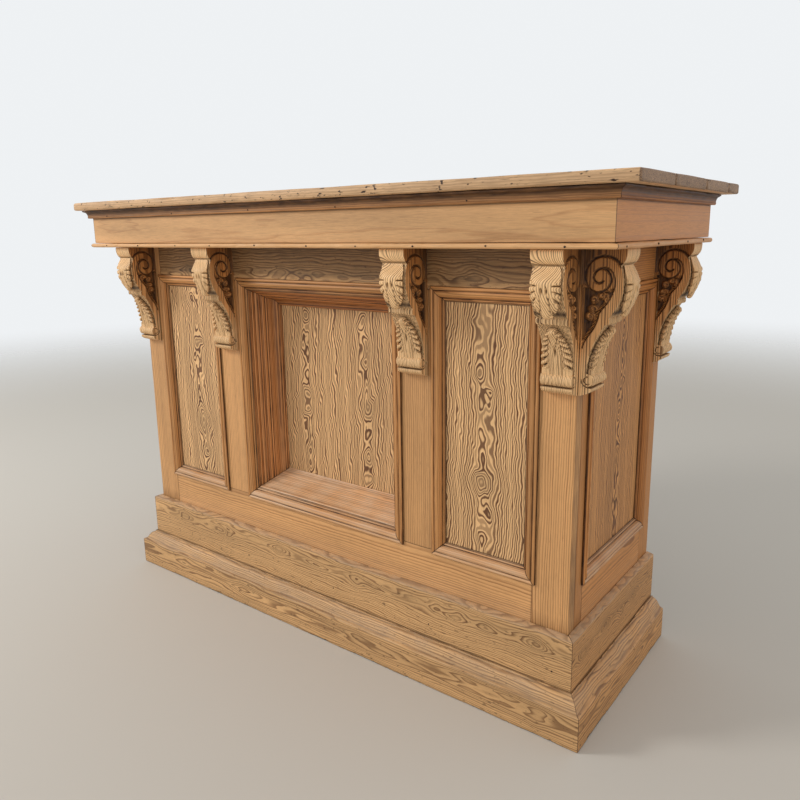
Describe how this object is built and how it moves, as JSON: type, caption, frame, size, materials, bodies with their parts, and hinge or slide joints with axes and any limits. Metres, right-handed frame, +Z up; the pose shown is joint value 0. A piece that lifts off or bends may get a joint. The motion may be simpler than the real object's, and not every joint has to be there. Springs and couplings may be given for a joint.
{
  "type": "bar counter",
  "caption": "Panelled wooden bar counter with a boarded worktop, carved scroll corbels, a deep stepped centre reveal and a moulded plinth, open and shelved at the back.",
  "frame": {"origin": "on the floor, under the middle of the worktop", "axes": "+Z up, +X along the counter's length to the right as the customer sees it, +Y from the customer's side to the server's side"},
  "size_m": [1.55, 0.5976, 1.05],
  "materials": {
    "worktop": "stripped pine, bare and waxed",
    "bed_mould": "stripped pine, bare and waxed",
    "fascia": "stripped pine, bare and waxed",
    "soffit": "stripped pine, bare and waxed",
    "frame": "stripped pine, bare and waxed",
    "panel": "stripped pine, bare and waxed",
    "moulding": "stripped pine, bare and waxed",
    "reveal": "stripped pine, bare and waxed",
    "carving": "stripped pine, bare and waxed",
    "plinth": "stripped pine, bare and waxed",
    "inside": "stripped pine, bare and waxed"
  },
  "bodies": {
    "root": {"back_top_rail": "inside", "bed_mould_front": "bed_mould", "bed_mould_left": "bed_mould", "bed_mould_right": "bed_mould", "bottom_board": "inside", "corbel_front_left": "carving", "corbel_front_left_corner": "carving", "corbel_front_right": "carving", "corbel_front_right_corner": "carving", "corbel_left_back": "carving", "corbel_left_front": "carving", "corbel_right_back": "carving", "corbel_right_front": "carving", "corner_stile_left": "frame", "corner_stile_right": "frame", "fascia_front": "fascia", "fascia_left": "fascia", "fascia_right": "fascia", "front_bottom_rail": "frame", "front_top_rail": "frame", "moulding_front_centre": "moulding", "moulding_front_left": "moulding", "moulding_front_right": "moulding", "moulding_side_left": "moulding", "moulding_side_right": "moulding", "muntin_left": "frame", "muntin_right": "frame", "panel_front_centre": "panel", "panel_front_left": "panel", "panel_front_right": "panel", "panel_side_left": "panel", "panel_side_right": "panel", "plinth_lower_front": "plinth", "plinth_lower_left": "plinth", "plinth_lower_right": "plinth", "plinth_upper_front": "plinth", "plinth_upper_left": "plinth", "plinth_upper_right": "plinth", "reveal_bottom": "reveal", "reveal_left": "reveal", "reveal_right": "reveal", "reveal_top": "reveal", "shelf": "inside", "shelf_bearer_left": "inside", "shelf_bearer_right": "inside", "side_back_stile_left": "frame", "side_back_stile_right": "frame", "side_bottom_rail_left": "frame", "side_bottom_rail_right": "frame", "side_front_stile_left": "frame", "side_front_stile_right": "frame", "side_top_rail_left": "frame", "side_top_rail_right": "frame", "soffit_front": "soffit", "soffit_left": "soffit", "soffit_right": "soffit", "top_board_back": "worktop", "top_board_front": "worktop", "top_board_second": "worktop", "top_board_third": "worktop"}
  },
  "joints": []
}
